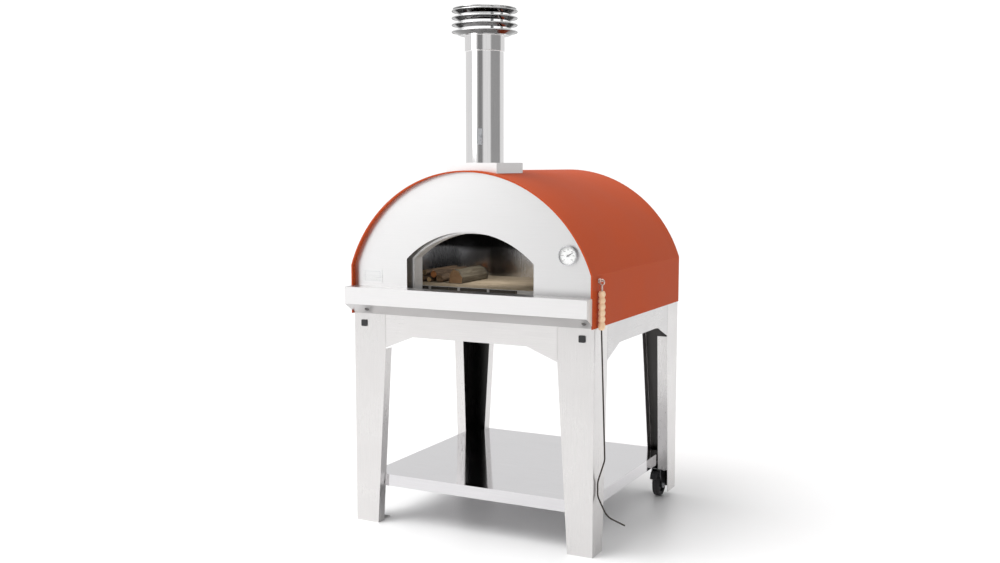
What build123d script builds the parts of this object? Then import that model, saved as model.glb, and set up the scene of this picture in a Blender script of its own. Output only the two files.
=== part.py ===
"""Wood fired pizza oven: a painted, insulated oven body on a folded stainless cart with two rear wheels.

The origin is on the floor, under the centre of the whole object's box. +Z is up and the mouth faces -Y.
Millimetres.
"""

import os

from build123d import *

os.makedirs("parts", exist_ok=True)

# Cart
cart_width = 1070
cart_depth = 976
cart_top = 880
sheet = 2
gap = 0.3
leg_face = 150
leg_side = 136
leg_face_foot = 105
leg_side_foot = 98
leg_flange = 45
foot_plate = 3
rear_skirt_gap = 32
apron_low = 795
gusset_low = 744
gusset_run = 128
leg_fold_top = 738
shelf_top = 202
shelf_depth = 49
shelf_set_back = 35
shelf_side_gap = 49
cap_side = 27
cap_rounding = 4
cap_from_corner = 48
cap_height = 840
apron_bolt_radius = 4
nut_radius = 7.5
bolt_play = 0.3
shelf_bolt_radius = 3
shelf_bolt_in = 41
shelf_bolt_z = shelf_top - shelf_depth / 2
caster_bolt_radius = 4
bolt_spacing_x = 72
bolt_spacing_y = 62

# Casters
wheel_radius = 50
tyre_width = 32
hub_width = 37
axle_radius = 5
running_gap = 0.05
caster_height = 132
caster_from_side = 56
caster_from_rear = 56
plate_thick = 2.5
arm_inside = 19
pedal_pivot_ahead = 34
pedal_pivot_height = 112

# Oven body
shelf_reach = 72
rear_lap = 12
rim_lap = 22
rim_fold = 6
tray_top = 995
landing_top = 972
lip_low = 925
spring = 1080
crown = 1467
facade_set_back = 4
mouth_half = 283
mouth_spring = 1112
mouth_crown = 1227
reveal_end = 50
tunnel_end = 112
tunnel_step = 8
brick_top = 996
brick_thick = 50
vault_half = 455
vault_spring = 1150
vault_crown = 1385
vault_front = 30
vault_back = 600

# Flue
flue_y = 143
flue_radius = 75
flue_wall = 1.5
flue_low = 1365
flue_top = 1940
box_width = 224
box_depth = 230
box_top = 1497
sleeve_low = 1932
sleeve_top = 1996
neck_top = 2008
top_height = 2100
cap_radius = 130.5
ring_pitch = 27
ring_height = 15
damper_height = 1593
damper_turn = 14
spindle_radius = 4

# Fittings on the front and the side
gauge_x = 428
gauge_z = 1151
gauge_radius = 37.5
gauge_depth = 12
gauge_wall = 3.5
gauge_floor = 4
gauge_stem = 3
name_plate_x = -447
name_plate_z = 1036
name_plate_width = 95
name_plate_height = 55
name_plate_thick = 1.2
hook_setback = 33
hook_z = 1057.7
tool_x = 551
ring_centre_drop = 3.7
ring_middle = 9.5
ring_wire = 3
handle_top = 1020
handle_low = 874
tool_reach = 120

# Places of the main planes
half = cart_width / 2
mid = -tool_reach / 2
front = -(cart_depth + rear_lap - shelf_reach) / 2
rear = front + cart_depth
rim = front - rim_lap
tail = rear + rear_lap
facade = front + facade_set_back
sides = (("left", -1), ("right", 1))


def upright(y):
    """A plane across the object at y, with its x along X and its y up; it faces forwards."""
    return Plane(origin=(mid, y, 0), x_dir=(1, 0, 0), z_dir=(0, -1, 0))


def save(piece, name):
    piece.part.label = name
    export_step(piece.part, f"parts/{name}.step")


def arch(half_width, foot, spring_height, crown_height):
    """A closed outline with straight sides up to the spring and an arc over the top."""
    with BuildLine() as outline:
        Polyline(
            (-half_width, spring_height),
            (-half_width, foot),
            (half_width, foot),
            (half_width, spring_height),
        )
        ThreePointArc((half_width, spring_height), (0, crown_height), (-half_width, spring_height))
    make_face(outline.edges())


def folded_section(face, side, corner, inward, backward):
    """The section of a leg: two outer faces that meet at a corner, and a return flange on each."""
    corners = (
        (face, leg_flange),
        (face, 0),
        (0, 0),
        (0, side),
        (leg_flange, side),
        (leg_flange, side - sheet),
        (sheet, side - sheet),
        (sheet, sheet),
        (face - sheet, sheet),
        (face - sheet, leg_flange),
    )
    points = [(corner[0] + inward * x, corner[1] + backward * y) for x, y in corners]
    with BuildLine() as outline:
        Polyline(*points, close=True)
    make_face(outline.edges())


def leg_width_at(z, foot_width, top_width):
    return foot_width + (top_width - foot_width) * min(z / leg_fold_top, 1)


# ---------------------------------------------------------------- cart legs

for side_name, side in sides:
    for end_name, backward in (("front", 1), ("rear", -1)):
        corner = (mid + side * half, front if backward == 1 else rear)
        inward = -side
        low = 0 if backward == 1 else rear_skirt_gap
        low_face = leg_width_at(low, leg_face_foot, leg_face)
        low_side = leg_width_at(low, leg_side_foot, leg_side)
        with BuildPart() as leg:
            with BuildSketch(Plane.XY.offset(low)):
                folded_section(low_face, low_side, corner, inward, backward)
            with BuildSketch(Plane.XY.offset(leg_fold_top)):
                folded_section(leg_face, leg_side, corner, inward, backward)
            loft(ruled=True)
            # Above the fold the two outer faces go on to the cart's top, without flanges.
            with BuildSketch(Plane.XY.offset(leg_fold_top)):
                with Locations((corner[0] + inward * leg_face / 2, corner[1] + backward * sheet / 2)):
                    Rectangle(leg_face, sheet)
                with Locations((corner[0] + inward * sheet / 2, corner[1] + backward * leg_side / 2)):
                    Rectangle(sheet, leg_side)
            extrude(amount=cart_top - leg_fold_top)
            if end_name == "front":
                # A welded plate closes the foot.
                plate_x = leg_face_foot - 1.5 * sheet
                plate_y = leg_side_foot - 1.5 * sheet
                plate_low = 0
            else:
                # The flanges stop above the caster, and its mounting plate is welded in there.
                plate_x = leg_width_at(caster_height, leg_face_foot, leg_face) - 2 * sheet - 1
                plate_y = leg_width_at(caster_height, leg_side_foot, leg_side) - 2 * sheet - 1
                plate_low = caster_height
                with BuildSketch(Plane.XY.offset(low)):
                    with Locations(
                        (
                            corner[0] + inward * (sheet + leg_face / 2),
                            corner[1] + backward * (sheet + leg_face / 2),
                        )
                    ):
                        Rectangle(leg_face, leg_face)
                extrude(amount=caster_height - low, mode=Mode.SUBTRACT)
            with BuildSketch(Plane.XY.offset(plate_low)):
                with Locations(
                    (
                        corner[0] + inward * (sheet + plate_x / 2),
                        corner[1] + backward * (sheet + plate_y / 2),
                    )
                ):
                    Rectangle(plate_x, plate_y)
            extrude(amount=foot_plate)
            # Holes for the apron bolt, the shelf bolt and the four caster bolts.
            apron_bolt = (corner[0] + inward * cap_from_corner, corner[1], cap_height)
            with Locations(Plane(origin=apron_bolt, z_dir=(0, 1, 0))):
                Cylinder(apron_bolt_radius + bolt_play, 3 * sheet, mode=Mode.SUBTRACT)
            flange_x = corner[0] + inward * leg_width_at(shelf_bolt_z, leg_face_foot, leg_face)
            flange_y = corner[1] + backward * shelf_bolt_in
            with Locations(Plane(origin=(flange_x, flange_y, shelf_bolt_z), z_dir=(1, 0, 0))):
                Cylinder(shelf_bolt_radius + bolt_play, 10 * sheet, mode=Mode.SUBTRACT)
            if end_name == "rear":
                over_caster = (corner[0] + inward * caster_from_side, rear - caster_from_rear, caster_height)
                with Locations(over_caster):
                    with GridLocations(bolt_spacing_x, bolt_spacing_y, 2, 2):
                        Cylinder(caster_bolt_radius + bolt_play, 4 * foot_plate, mode=Mode.SUBTRACT)
        save(leg, f"leg_{end_name}_{side_name}")


# ---------------------------------------------------------------- aprons

cap_x = half - cap_from_corner
apron_seam = 1.5
apron_flange = 38
apron_flange_in = 20
apron_hem = 16
wide_lap = 130
narrow_lap = 60


def apron(length, plane, bolted):
    """A panel between two legs, hemmed along its low edge, with a lap behind each leg's face."""
    end = length / 2 - apron_seam
    with BuildPart() as panel:
        with BuildSketch(plane):
            with BuildLine():
                Polyline(
                    (-end, cart_top),
                    (-end, gusset_low),
                    (-end + gusset_run, apron_low),
                    (end - gusset_run, apron_low),
                    (end, gusset_low),
                    (end, cart_top),
                    close=True,
                )
            make_face()
        extrude(amount=-sheet)
        # The top flange carries the oven, and the hem stiffens the low edge.
        with BuildSketch(plane.offset(-sheet)):
            with Locations((0, cart_top - sheet / 2)):
                Rectangle(2 * (end - apron_flange_in), sheet)
        extrude(amount=-apron_flange)
        with BuildSketch(plane.offset(-sheet)):
            with Locations((0, apron_low + sheet / 2)):
                Rectangle(2 * (end - gusset_run), sheet)
        extrude(amount=-apron_hem)
        lap_low = gusset_low + 8
        lap_high = cart_top - 2 * sheet
        lap = wide_lap if bolted else narrow_lap
        with BuildSketch(plane.offset(-sheet)):
            for way in (-1, 1):
                with Locations((way * (end + lap / 2 - apron_flange_in), (lap_low + lap_high) / 2)):
                    Rectangle(lap, lap_high - lap_low)
            if bolted:
                with Locations((-cap_x, cap_height), (cap_x, cap_height)):
                    Circle(apron_bolt_radius + bolt_play, mode=Mode.SUBTRACT)
        extrude(amount=-sheet)
    return panel


front_plane = upright(front)
rear_plane = Plane(origin=(mid, rear, 0), x_dir=(-1, 0, 0), z_dir=(0, 1, 0))
middle_y = (front + rear) / 2
left_plane = Plane(origin=(mid - half, middle_y, 0), x_dir=(0, -1, 0), z_dir=(-1, 0, 0))
right_plane = Plane(origin=(mid + half, middle_y, 0), x_dir=(0, 1, 0), z_dir=(1, 0, 0))
between_faces = cart_width - 2 * leg_face
between_sides = cart_depth - 2 * leg_side
save(apron(between_faces, front_plane, True), "apron_front")
save(apron(between_faces, rear_plane, True), "apron_rear")
save(apron(between_sides, left_plane, False), "apron_left")
save(apron(between_sides, right_plane, False), "apron_right")

# Low-headed bolts hold the front and rear aprons to the legs, and square caps hide their heads.
bolt_head = 7
head_height = 2.6
cap_skirt = 3
cap_thick = 1.4
with BuildPart() as apron_bolts:
    for plane in (front_plane, rear_plane):
        with BuildSketch(plane):
            with Locations((-cap_x, cap_height), (cap_x, cap_height)):
                Circle(bolt_head)
        extrude(amount=head_height)
        with BuildSketch(plane):
            with Locations((-cap_x, cap_height), (cap_x, cap_height)):
                Circle(apron_bolt_radius)
        extrude(amount=-6 * sheet)
        with BuildSketch(plane.offset(-2 * sheet)):
            with Locations((-cap_x, cap_height), (cap_x, cap_height)):
                RegularPolygon(nut_radius, 6)
        extrude(amount=-3 * sheet)
save(apron_bolts, "apron_bolts")

with BuildPart() as bolt_caps:
    for plane in (front_plane, rear_plane):
        with BuildSketch(plane):
            with Locations((-cap_x, cap_height), (cap_x, cap_height)):
                RectangleRounded(cap_side, cap_side, cap_rounding)
                Circle(bolt_head + 1, mode=Mode.SUBTRACT)
        extrude(amount=cap_skirt)
        with BuildSketch(plane.offset(cap_skirt)):
            with Locations((-cap_x, cap_height), (cap_x, cap_height)):
                RectangleRounded(cap_side, cap_side, cap_rounding)
        extrude(amount=cap_thick)
save(bolt_caps, "bolt_caps")

# ---------------------------------------------------------------- bottom shelf

shelf_half = half - shelf_side_gap
shelf_front = front + shelf_set_back
shelf_rear = rear - sheet - gap
notch_half = half - leg_face_foot - 13
notch_front = front + leg_flange + 5
notch_rear = rear - leg_flange - 5
channel_x = 200
channel_width = 60
channel_depth = 25
channel_length = cart_depth - 120


def shelf_outline(inset):
    """The shelf from above: a rectangle with its corners notched round the leg flanges."""
    wide = shelf_half - inset
    narrow = notch_half - inset
    with BuildLine() as outline:
        Polyline(
            (mid - narrow, shelf_front + inset),
            (mid + narrow, shelf_front + inset),
            (mid + narrow, notch_front + inset),
            (mid + wide, notch_front + inset),
            (mid + wide, notch_rear - inset),
            (mid + narrow, notch_rear - inset),
            (mid + narrow, shelf_rear - inset),
            (mid - narrow, shelf_rear - inset),
            (mid - narrow, notch_rear - inset),
            (mid - wide, notch_rear - inset),
            (mid - wide, notch_front + inset),
            (mid - narrow, notch_front + inset),
            close=True,
        )
    make_face(outline.edges())


with BuildPart() as bottom_shelf:
    with BuildSketch(Plane.XY.offset(shelf_top - shelf_depth)):
        shelf_outline(0)
    extrude(amount=shelf_depth)
    with BuildSketch(Plane.XY.offset(shelf_top - shelf_depth)):
        shelf_outline(sheet)
    extrude(amount=shelf_depth - sheet, mode=Mode.SUBTRACT)
    # Two stiffening channels under the top.
    with BuildSketch(Plane.XY.offset(shelf_top - channel_depth)):
        with Locations((mid - channel_x, middle_y), (mid + channel_x, middle_y)):
            Rectangle(channel_width, channel_length)
            Rectangle(channel_width - 2 * sheet, channel_length, mode=Mode.SUBTRACT)
    extrude(amount=channel_depth - sheet)
    for side_name, side in sides:
        for bolt_y in (front + shelf_bolt_in, rear - shelf_bolt_in):
            with Locations(Plane(origin=(mid + side * notch_half, bolt_y, shelf_bolt_z), z_dir=(1, 0, 0))):
                Cylinder(shelf_bolt_radius + bolt_play, 4 * sheet, mode=Mode.SUBTRACT)
save(bottom_shelf, "bottom_shelf")

# Each shelf corner is bolted through the leg's flange, along X.
with BuildPart() as shelf_bolts:
    for side_name, side in sides:
        for bolt_y in (front + shelf_bolt_in, rear - shelf_bolt_in):
            outer = mid + side * (half - leg_width_at(shelf_bolt_z, leg_face_foot, leg_face) + sheet + 0.4)
            bolt_plane = Plane(origin=(outer, bolt_y, shelf_bolt_z), x_dir=(0, side, 0), z_dir=(side, 0, 0))
            with BuildSketch(bolt_plane):
                RegularPolygon(6, 6)
            extrude(amount=4)
            with BuildSketch(bolt_plane):
                Circle(shelf_bolt_radius)
            extrude(amount=-18)
save(shelf_bolts, "shelf_bolts")

# ---------------------------------------------------------------- casters

caster_y = rear - caster_from_rear
plate_low = caster_height - plate_thick
arm_thick = 2.5
arm_outside = arm_inside + arm_thick
pivot_y = caster_y - pedal_pivot_ahead
pivot_radius = 3
axle_nut = 9
pedal_width = 34

for side_name, side in sides:
    caster_x = mid + side * (half - caster_from_side)
    middle = Plane.YZ.offset(caster_x)
    plate_corners = GridLocations(bolt_spacing_x, bolt_spacing_y, 2, 2).local_locations
    bolt_places = [(caster_x + spot.position.X, caster_y + spot.position.Y) for spot in plate_corners]

    with BuildPart() as caster_frame:
        with BuildSketch(Plane.XY.offset(plate_low)):
            with Locations((caster_x, caster_y)):
                RectangleRounded(92, 82, 8)
            with Locations(*bolt_places):
                Circle(caster_bolt_radius + bolt_play, mode=Mode.SUBTRACT)
        extrude(amount=plate_thick)
        # A web under the plate joins the two arms.
        with BuildSketch(Plane.XY.offset(plate_low - plate_thick)):
            with Locations((caster_x, caster_y)):
                Rectangle(2 * arm_outside, 58)
        extrude(amount=plate_thick)
        for way in (-1, 1):
            arm_plane = Plane.YZ.offset(caster_x + way * arm_inside)
            with BuildSketch(arm_plane):
                with BuildLine():
                    Polyline(
                        (caster_y - 29, plate_low),
                        (pivot_y - 8, plate_low - 6),
                        (pivot_y - 8, pedal_pivot_height - 8),
                        (caster_y - 13, wheel_radius - 5),
                        (caster_y + 13, wheel_radius - 5),
                        (caster_y + 29, plate_low - 20),
                        (caster_y + 29, plate_low),
                        close=True,
                    )
                make_face()
                with Locations((caster_y, wheel_radius)):
                    Circle(13.9)
                with Locations((caster_y, wheel_radius)):
                    Circle(axle_radius + running_gap, mode=Mode.SUBTRACT)
                with Locations((pivot_y, pedal_pivot_height)):
                    Circle(pivot_radius + running_gap, mode=Mode.SUBTRACT)
            extrude(amount=way * arm_thick)
    save(caster_frame, f"caster_frame_{side_name}")

    with BuildPart() as caster_axle:
        with BuildSketch(middle.offset(-arm_outside - 10)):
            with Locations((caster_y, wheel_radius)):
                Circle(axle_radius)
        extrude(amount=2 * arm_outside + 14)
        with BuildSketch(middle.offset(arm_outside + running_gap)):
            with Locations((caster_y, wheel_radius)):
                RegularPolygon(axle_nut, 6)
        extrude(amount=axle_radius)
        with BuildSketch(middle.offset(-arm_outside - running_gap)):
            with Locations((caster_y, wheel_radius)):
                RegularPolygon(axle_nut, 6)
        extrude(amount=-axle_radius - 2)
    save(caster_axle, f"caster_axle_{side_name}")

    wheel_plane = Plane(origin=(caster_x, caster_y, wheel_radius), x_dir=(1, 0, 0), z_dir=(0, -1, 0))
    with BuildPart() as caster_wheel:
        with BuildSketch(wheel_plane):
            with BuildLine():
                Polyline(
                    (-hub_width / 2, axle_radius + running_gap),
                    (hub_width / 2, axle_radius + running_gap),
                    (hub_width / 2, 12),
                    (6, 15),
                    (6, 30),
                    (13, 32),
                    (13, 38),
                    (-13, 38),
                    (-13, 32),
                    (-6, 30),
                    (-6, 15),
                    (-hub_width / 2, 12),
                    close=True,
                )
            make_face()
        revolve(axis=Axis((caster_x, caster_y, wheel_radius), (1, 0, 0)))
    save(caster_wheel, f"caster_wheel_{side_name}")

    with BuildPart() as caster_tyre:
        with BuildSketch(wheel_plane):
            with BuildLine():
                Polyline(
                    (-12, wheel_radius),
                    (-tyre_width / 2, wheel_radius - 5),
                    (-tyre_width / 2, 36),
                    (-13, 36),
                    (-13, 38),
                    (13, 38),
                    (13, 36),
                    (tyre_width / 2, 36),
                    (tyre_width / 2, wheel_radius - 5),
                    (12, wheel_radius),
                    close=True,
                )
            make_face()
        revolve(axis=Axis((caster_x, caster_y, wheel_radius), (1, 0, 0)))
    save(caster_tyre, f"caster_tyre_{side_name}")

    # The pedal rocks on two stub pins, and its shoe bears on the tyre when it is pressed.
    with BuildPart() as caster_pedal:
        with BuildSketch(middle.offset(-pedal_width / 2)):
            with BuildLine():
                Polyline(
                    (pivot_y - 42, pedal_pivot_height - 22),
                    (pivot_y - 39, pedal_pivot_height - 24),
                    (pivot_y - 27, pedal_pivot_height + 2),
                    (pivot_y - 5, pedal_pivot_height - 3),
                    (pivot_y - 5, pedal_pivot_height - 19),
                    (pivot_y + 2, pedal_pivot_height - 19),
                    (pivot_y + 6, pedal_pivot_height - 2),
                    (pivot_y + 3, pedal_pivot_height + 6),
                    (pivot_y - 28, pedal_pivot_height + 8),
                    close=True,
                )
            make_face()
        extrude(amount=pedal_width)
        with BuildSketch(middle.offset(-arm_outside)):
            with Locations((pivot_y, pedal_pivot_height)):
                Circle(pivot_radius)
        extrude(amount=2 * arm_outside)
    save(caster_pedal, f"caster_pedal_{side_name}")

with BuildPart() as caster_bolts:
    for side_name, side in sides:
        caster_x = mid + side * (half - caster_from_side)
        plate_corners = GridLocations(bolt_spacing_x, bolt_spacing_y, 2, 2).local_locations
        bolt_places = [(caster_x + spot.position.X, caster_y + spot.position.Y) for spot in plate_corners]
        with BuildSketch(Plane.XY.offset(plate_low)):
            with Locations(*bolt_places):
                RegularPolygon(nut_radius, 6)
        extrude(amount=-5)
        with BuildSketch(Plane.XY.offset(plate_low)):
            with Locations(*bolt_places):
                Circle(caster_bolt_radius)
        extrude(amount=16)
        with BuildSketch(Plane.XY.offset(caster_height + foot_plate)):
            with Locations(*bolt_places):
                RegularPolygon(nut_radius, 6)
        extrude(amount=6.5)
save(caster_bolts, "caster_bolts")


# ---------------------------------------------------------------- oven body

def rod(start, finish, radius):
    """A round bar between two points."""
    run = Vector(*finish) - Vector(*start)
    with Locations(Plane(origin=start, z_dir=run).location):
        Cylinder(radius, run.length, align=(Align.CENTER, Align.CENTER, Align.MIN))


def box(low, high, mode=Mode.ADD):
    """A block between two corners."""
    size = Vector(*high) - Vector(*low)
    with Locations(low):
        Box(size.X, size.Y, size.Z, align=(Align.MIN, Align.MIN, Align.MIN), mode=mode)


def flue_hole(radius):
    """A round hole up through everything, on the flue's axis."""
    with Locations((mid, front + flue_y, top_height / 2)):
        Cylinder(radius, top_height, mode=Mode.SUBTRACT)


def arch_ring(y, depth, outer, inner):
    """A length of arched tube that runs rearwards from y, between two outlines given as arch sizes."""
    with BuildPart() as ring:
        with BuildSketch(upright(y)):
            arch(*outer)
        extrude(amount=-depth)
        with BuildSketch(upright(y)):
            arch(*inner)
        extrude(amount=-depth, mode=Mode.SUBTRACT)
    return ring


wall_gap = sheet + gap
shell_skin = (half, cart_top, spring, crown)
mouth = (mouth_half, tray_top - wall_gap, mouth_spring, mouth_crown)
tunnel_foot = landing_top - wall_gap
vault_outline = (vault_half + sheet, brick_top - brick_thick, vault_spring, vault_crown + sheet)

with BuildPart() as base_pan:
    box(
        (mid - half + sheet + gap, front + 0.5, cart_top),
        (mid + half - sheet - gap, rear + 8, cart_top + sheet),
    )
save(base_pan, "base_pan")

# The shelf in front of the mouth: a folded tray with a slanted underside and two closed ends.
tray_lip = front - shelf_reach
inner_half = half - sheet - gap - 0.2
with BuildPart() as front_shelf:
    with BuildSketch(Plane.YZ.offset(mid - half)):
        with BuildLine():
            Polyline(
                (facade - gap, tray_top),
                (tray_lip, tray_top),
                (tray_lip, lip_low),
                (front - 1.2, cart_top + 0.5),
                (front - 0.1, cart_top + 2.2),
                (tray_lip + sheet, lip_low + 1.1),
                (tray_lip + sheet, tray_top - sheet),
                (facade - gap, tray_top - sheet),
                close=True,
            )
        make_face()
    extrude(amount=cart_width)
    for side_name, side in sides:
        with Locations((mid + side * (inner_half + 10), rim - gap + 50, cart_top + 100)):
            Box(20, 100, 240, mode=Mode.SUBTRACT)
        cap_plane = Plane.YZ.offset(mid + side * (half - sheet / 2) - sheet / 2)
        with BuildSketch(cap_plane):
            with BuildLine():
                Polyline(
                    (tray_lip, tray_top),
                    (tray_lip, lip_low),
                    (rim - gap, lip_low - (lip_low - cart_top) * (rim - gap - tray_lip) / shelf_reach),
                    (rim - gap, tray_top),
                    close=True,
                )
            make_face()
        extrude(amount=sheet)
save(front_shelf, "front_shelf")

# The painted skin: an arched tube with a folded rim at the front.
with BuildPart() as outer_shell:
    with BuildSketch(upright(rim)):
        arch(*shell_skin)
    extrude(amount=-(tail - rim))
    with BuildSketch(upright(rim)):
        arch(half - sheet, cart_top, spring, crown - sheet)
    extrude(amount=-(tail - rim), mode=Mode.SUBTRACT)
    with BuildSketch(upright(rim)):
        arch(half, tray_top + 1, spring, crown)
        with BuildLine() as hem:
            Polyline(
                (rim_fold - half, spring),
                (rim_fold - half, cart_top),
                (half - rim_fold, cart_top),
                (half - rim_fold, spring),
            )
            ThreePointArc((half - rim_fold, spring), (0, crown - rim_fold), (rim_fold - half, spring))
        make_face(hem.edges(), mode=Mode.SUBTRACT)
    extrude(amount=-1.5)
    with Locations((mid, front + flue_y, crown)):
        Cylinder(flue_radius + sheet, 200, mode=Mode.SUBTRACT)
save(outer_shell, "outer_shell")

front_arch = arch_ring(facade, sheet, (half - wall_gap, cart_top + 3, spring, crown - wall_gap), mouth)
with front_arch:
    with Locations(Plane(origin=(mid + gauge_x, facade, gauge_z), z_dir=(0, 1, 0))):
        Cylinder(gauge_stem + gap, 4 * sheet, mode=Mode.SUBTRACT)
save(front_arch, "front_arch")

with BuildPart() as rear_panel:
    with BuildSketch(upright(rear + sheet)):
        arch(half - wall_gap, cart_top + 3, spring, crown - wall_gap)
    extrude(amount=-sheet)
save(rear_panel, "rear_panel")

# ---------------------------------------------------------------- mouth

mouth_reveal = arch_ring(
    facade + sheet,
    reveal_end - facade_set_back - sheet,
    (mouth_half + sheet, tunnel_foot, mouth_spring, mouth_crown + sheet),
    (mouth_half, tunnel_foot, mouth_spring, mouth_crown),
)
save(mouth_reveal, "mouth_reveal")

frame_half = mouth_half - tunnel_step
frame_crown = mouth_crown - tunnel_step
mouth_frame = arch_ring(
    front + reveal_end,
    tunnel_end - reveal_end,
    (frame_half + sheet, landing_top, mouth_spring, frame_crown + sheet),
    (frame_half, landing_top, mouth_spring, frame_crown),
)
step_flange = arch_ring(
    front + reveal_end,
    sheet,
    (mouth_half + sheet, landing_top, mouth_spring, mouth_crown + sheet),
    (frame_half, landing_top, mouth_spring, frame_crown),
)
with mouth_frame:
    add(step_flange.part)
save(mouth_frame, "mouth_frame")

# The landing lies a little lower than the front shelf, so that ash stays behind the shelf's edge.
with BuildPart() as mouth_landing:
    box(
        (mid - mouth_half + gap, facade + wall_gap, landing_top - sheet),
        (mid + mouth_half - gap, front + tunnel_end, landing_top),
    )
save(mouth_landing, "mouth_landing")

# The sill stands in front of the bricks. Its four air slots lie towards the fire's side.
slot_middle_x = -105
slot_pitch = 135
slot_width = 124
slot_height = 19
with BuildPart() as mouth_sill:
    with BuildSketch(upright(front + tunnel_end)):
        with Locations((0, (brick_top + brick_top - brick_thick) / 2)):
            Rectangle(2 * vault_half - 2, brick_thick)
        with Locations((slot_middle_x, (landing_top + brick_top) / 2)):
            with GridLocations(slot_pitch, 1, 4, 1):
                Rectangle(slot_width, slot_height, mode=Mode.SUBTRACT)
    extrude(amount=-sheet)
save(mouth_sill, "mouth_sill")

# ---------------------------------------------------------------- chamber

with BuildPart() as chamber_front:
    with BuildSketch(upright(front + vault_front)):
        arch(*vault_outline)
    extrude(amount=-sheet)
    with BuildSketch(upright(front + vault_front)):
        arch(
            mouth_half + wall_gap,
            tunnel_foot - wall_gap,
            mouth_spring,
            mouth_crown + wall_gap,
        )
    extrude(amount=-sheet, mode=Mode.SUBTRACT)
    with Locations(Plane(origin=(mid + gauge_x, front + vault_front, gauge_z), z_dir=(0, 1, 0))):
        Cylinder(gauge_stem + gap, 4 * sheet, mode=Mode.SUBTRACT)
save(chamber_front, "chamber_front")

chamber_vault = arch_ring(
    front + vault_front + sheet,
    vault_back - vault_front - sheet,
    vault_outline,
    (vault_half, brick_top - brick_thick, vault_spring, vault_crown),
)
with chamber_vault:
    flue_hole(flue_radius + sheet)
save(chamber_vault, "chamber_vault")

with BuildPart() as chamber_back:
    with BuildSketch(upright(front + vault_back)):
        arch(*vault_outline)
    extrude(amount=-sheet)
save(chamber_back, "chamber_back")

hearth_plate_thick = 3
plate_under = brick_top - brick_thick - hearth_plate_thick
with BuildPart() as hearth_plate:
    box(
        (mid - vault_half - sheet, front + vault_front, plate_under),
        (mid + vault_half + sheet, front + vault_back + sheet, plate_under + hearth_plate_thick),
    )
save(hearth_plate, "hearth_plate")

joint = 1.5
brick_x = (2 * vault_half - 2 * gap - 2 * joint) / 3
brick_front = tunnel_end + sheet + gap
brick_y = (vault_back - gap - brick_front - 2 * joint) / 3
with BuildPart() as firebricks:
    with Locations((mid, front + (brick_front + vault_back - gap) / 2, brick_top - brick_thick / 2)):
        with GridLocations(brick_x + joint, brick_y + joint, 3, 3):
            Box(brick_x, brick_y, brick_thick)
save(firebricks, "firebricks")

# Wool fills the space round the chamber, just clear of the sheets on both sides.
wool_gap = 3
wool_low = cart_top + 2 * sheet
rear_wool = 100
wool_outline = (half - wool_gap, wool_low, spring, crown - wool_gap)
insulation_vault = arch_ring(
    front + vault_front + wool_gap,
    vault_back - vault_front,
    wool_outline,
    (vault_half + wool_gap, wool_low, vault_spring, vault_crown + wool_gap),
)
with insulation_vault:
    flue_hole(flue_radius + 5)
save(insulation_vault, "insulation_vault")

with BuildPart() as insulation_rear:
    with BuildSketch(upright(front + vault_back + 4)):
        arch(*wool_outline)
    extrude(amount=-rear_wool)
save(insulation_rear, "insulation_rear")

with BuildPart() as insulation_floor:
    box(
        (mid - vault_half, front + vault_front, wool_low),
        (mid + vault_half, front + vault_back, plate_under),
    )
save(insulation_floor, "insulation_floor")

# ---------------------------------------------------------------- fire

# Split and round logs, stacked along Y.
round_logs = (
    (-262, 17, 16.5),
    (-291, 34, 15),
    (-313, 11, 11),
    (-336, 40, 12),
    (-352, 16, 15.5),
)
with BuildPart() as firewood:
    for log_x, log_rise, log_radius in round_logs:
        with BuildSketch(upright(front + 230)):
            with Locations((log_x, brick_top + log_rise)):
                RegularPolygon(log_radius, 10)
        extrude(amount=-(250 + 2 * log_radius))
    with BuildSketch(upright(front + 228)):
        with BuildLine():
            Polyline(
                (-216, brick_top),
                (-154, brick_top),
                (-150, brick_top + 26),
                (-169, brick_top + 52),
                (-194, brick_top + 60),
                (-214, brick_top + 38),
                close=True,
            )
        make_face()
    extrude(amount=-235)
save(firewood, "firewood")

# ---------------------------------------------------------------- flue

flue_centre_y = front + flue_y


def flue_ring(inner, outer, low, high):
    """A length of tube on the flue's axis."""
    with Locations((mid, flue_centre_y, low)):
        Cylinder(outer, high - low, align=(Align.CENTER, Align.CENTER, Align.MIN))
        Cylinder(inner, high - low, align=(Align.CENTER, Align.CENTER, Align.MIN), mode=Mode.SUBTRACT)


with BuildPart() as flue_box:
    with Locations((mid, flue_centre_y, box_top)):
        Box(box_width, box_depth, 60, align=(Align.CENTER, Align.CENTER, Align.MAX))
        with Locations((0, 0, -sheet)):
            Box(
                box_width - 2 * sheet,
                box_depth - 2 * sheet,
                60,
                align=(Align.CENTER, Align.CENTER, Align.MAX),
                mode=Mode.SUBTRACT,
            )
    with BuildSketch(upright(rim)):
        arch(*shell_skin)
    extrude(amount=-(tail - rim), mode=Mode.SUBTRACT)
    flue_hole(flue_radius + 0.1)
save(flue_box, "flue_box")

turn = Plane(origin=(mid, flue_centre_y, damper_height), z_dir=(0, 0, 1)).rotated((0, 0, damper_turn - 90))
across = turn.x_dir
damper_centre = turn.origin
with BuildPart() as flue_pipe:
    flue_ring(flue_radius - flue_wall, flue_radius, flue_low, flue_top)
    with Locations(Plane(origin=damper_centre, z_dir=across).location):
        Cylinder(spindle_radius + running_gap, 2 * cap_radius, mode=Mode.SUBTRACT)
save(flue_pipe, "flue_pipe")

sleeve_radius = flue_radius + 0.1
sleeve_wall = 3.5
neck_wall = 1.4
with BuildPart() as flue_sleeve:
    flue_ring(sleeve_radius, sleeve_radius + sleeve_wall, sleeve_low, sleeve_top)
    flue_ring(sleeve_radius, sleeve_radius + neck_wall, sleeve_top, neck_top)
save(flue_sleeve, "flue_sleeve")

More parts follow.
